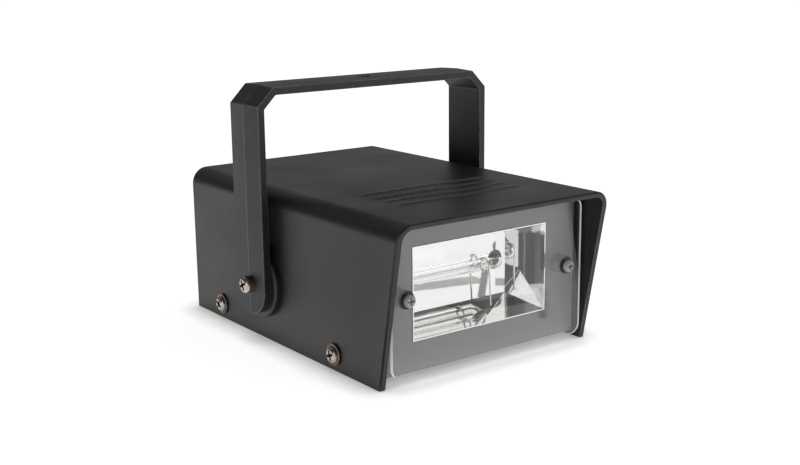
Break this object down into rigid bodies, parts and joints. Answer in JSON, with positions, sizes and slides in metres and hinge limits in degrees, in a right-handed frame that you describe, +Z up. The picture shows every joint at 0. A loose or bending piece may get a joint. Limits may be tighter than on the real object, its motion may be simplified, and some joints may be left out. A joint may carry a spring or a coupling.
{
  "type": "xenon stroboscope",
  "caption": "Hooded black housing with a xenon flash tube in a box reflector behind a clear lens, a swinging U bracket and a flash-rate knob on the rear.",
  "frame": {"origin": "on the surface it stands on, under the middle of its overall length and width", "axes": "-Y is where the light goes, +Z up, +X to the right seen from the front"},
  "size_m": [0.1404, 0.186, 0.1191],
  "materials": {
    "black_abs": "fine moulded texture, satin black",
    "grey_panel": "smooth mid grey moulding",
    "clear_acrylic": "clear sheet with polished edges",
    "mirror_aluminium": "bright rolled reflector sheet",
    "tube_glass": "clear hard glass",
    "electrode_metal": "bare nickel wire and caps",
    "bare_wire": "bare nickel wire",
    "silicone": "soft grey silicone",
    "clear_nylon": "natural nylon, milky",
    "grommet_rubber": "black rubber",
    "nickel_screws": "nickel plated, slightly warm",
    "zinc_steel": "zinc plated",
    "brass_nut": "turned brass",
    "pot_can": "pressed steel can",
    "board_laminate": "phenolic board",
    "capacitor_sleeve": "shrink sleeve",
    "winding_varnish": "varnished winding on ferrite",
    "film_casing": "dipped epoxy",
    "thyristor_casing": "moulded epoxy",
    "ceramic_cement": "cement filled ceramic",
    "diode_casing": "moulded epoxy",
    "fuse_glass": "clear glass",
    "terminal_green": "green terminal moulding",
    "white_inlay": "white inlay",
    "wire_red": "wire insulation",
    "wire_blue": "wire insulation"
  },
  "bodies": {
    "housing": {"top_cover": "black_abs", "base_pan": "black_abs", "front_panel": "grey_panel", "rear_panel": "black_abs", "front_lens": "clear_acrylic", "lens_spacers": "clear_nylon", "lens_screws": "clear_nylon", "lens_nuts": "zinc_steel", "panel_screws": "zinc_steel", "board_screws": "zinc_steel", "cover_screws": "nickel_screws", "reflector": "mirror_aluminium", "flash_tube": "tube_glass", "tube_electrodes": "electrode_metal", "tube_sleeves": "silicone", "trigger_wire": "bare_wire", "tube_board": "board_laminate", "tube_board_posts": "zinc_steel", "tube_board_screws": "zinc_steel", "circuit_board": "board_laminate", "board_spacers": "zinc_steel", "flash_capacitors": "capacitor_sleeve", "trigger_transformer": "winding_varnish", "trigger_capacitor": "film_casing", "thyristor": "thyristor_casing", "power_resistor": "ceramic_cement", "rectifier_diodes": "diode_casing", "board_fuse": "fuse_glass", "fuse_clips": "zinc_steel", "mains_terminal": "terminal_green", "terminal_screws": "zinc_steel", "rate_potentiometer": "pot_can", "pot_washer": "zinc_steel", "pot_nut": "brass_nut", "cable_grommet": "grommet_rubber", "pivot_spacers": "black_abs", "pivot_screws": "nickel_screws", "pivot_lock_washers": "nickel_screws", "pivot_nuts": "zinc_steel", "tube_leads": "wire_red", "pot_leads": "wire_blue"},
    "bracket": {"handle_bracket": "black_abs"},
    "knob": {"pot_shaft": "zinc_steel", "rate_knob": "black_abs", "knob_pointer": "white_inlay"}
  },
  "joints": [
    {"name": "bracket_tilt", "type": "hinge", "parent": "housing", "child": "bracket", "pos_m": [0, 0.01274, 0.0275], "axis": [-1, 0, 0], "range_deg": [-51, 242]},
    {"name": "rate_turn", "type": "hinge", "parent": "housing", "child": "knob", "pos_m": [-0.026, 0.08574, 0.042], "axis": [0, 1, 0], "range_deg": [-150, 150]}
  ]
}
